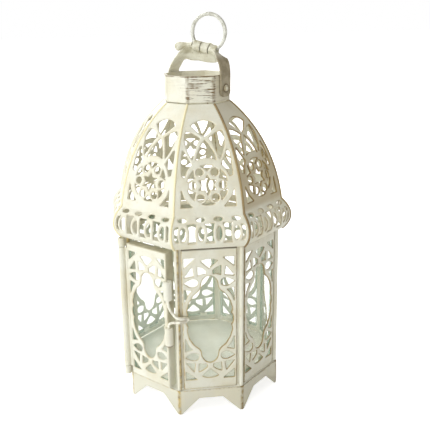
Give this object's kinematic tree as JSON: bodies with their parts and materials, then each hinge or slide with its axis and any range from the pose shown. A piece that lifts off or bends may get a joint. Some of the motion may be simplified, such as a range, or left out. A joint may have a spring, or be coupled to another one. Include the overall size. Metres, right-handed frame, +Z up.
{
  "type": "moroccan lantern",
  "caption": "Octagonal candle lantern of pierced painted sheet metal with glazed sides, a hinged and latched door, a fretwork dome and a riveted strap with a hanging ring.",
  "frame": {"origin": "centre of the footprint at ground level, on the lantern's axis", "axes": "+Z up along the axis, -Y out of the front panel, +X to the right of a person facing that panel; the door is the face between -X and -Y"},
  "size_m": [0.1084, 0.1084, 0.2394],
  "materials": {
    "cream_paint": "satin cream paint, rubbed through to a golden brown along the edges",
    "strap_paint": "worn cream paint over dark brown",
    "wire_paint": "satin, thinly painted wire",
    "clear_glass": "clear float glass with a green tint"
  },
  "bodies": {
    "lantern": {"base_skirt": "cream_paint", "floor_plate": "cream_paint", "corner_post_front": "cream_paint", "panel_front": "cream_paint", "glass_front": "clear_glass", "dome_gore_front": "cream_paint", "corner_post_front_right": "cream_paint", "panel_front_right": "cream_paint", "glass_front_right": "clear_glass", "dome_gore_front_right": "cream_paint", "corner_post_right": "cream_paint", "panel_right": "cream_paint", "glass_right": "clear_glass", "dome_gore_right": "cream_paint", "corner_post_back_right": "cream_paint", "panel_back_right": "cream_paint", "glass_back_right": "clear_glass", "dome_gore_back_right": "cream_paint", "corner_post_back": "cream_paint", "panel_back": "cream_paint", "glass_back": "clear_glass", "dome_gore_back": "cream_paint", "corner_post_back_left": "cream_paint", "panel_back_left": "cream_paint", "glass_back_left": "clear_glass", "dome_gore_back_left": "cream_paint", "hinge_post": "cream_paint", "panel_left": "cream_paint", "glass_left": "clear_glass", "dome_gore_left": "cream_paint", "latch_post": "cream_paint", "dome_gore_front_left": "cream_paint", "hinge_pin": "wire_paint", "roof_seat": "cream_paint", "neck_collar": "cream_paint", "handle_strap": "strap_paint", "rivet_front": "wire_paint", "rivet_back": "wire_paint"},
    "door": {"door_panel": "cream_paint", "door_glass": "clear_glass"},
    "latch": {"latch_loop": "wire_paint"},
    "ring": {"hanging_ring": "wire_paint"}
  },
  "joints": [
    {"name": "door_swing", "type": "hinge", "parent": "lantern", "child": "door", "pos_m": [-0.05026, -0.02082, 0.0632], "axis": [0, 0, -1], "range_deg": [0, 110]},
    {"name": "latch_swing", "type": "hinge", "parent": "door", "child": "latch", "pos_m": [-0.02474, -0.04617, 0.0688], "axis": [0, 0, -1], "range_deg": [0, 110]},
    {"name": "ring_swing", "type": "hinge", "parent": "lantern", "child": "ring", "pos_m": [0.00523, -0.0041, 0.219], "axis": [0.8352, -0.5011, -0.2268], "range_deg": [-75, 75]}
  ]
}
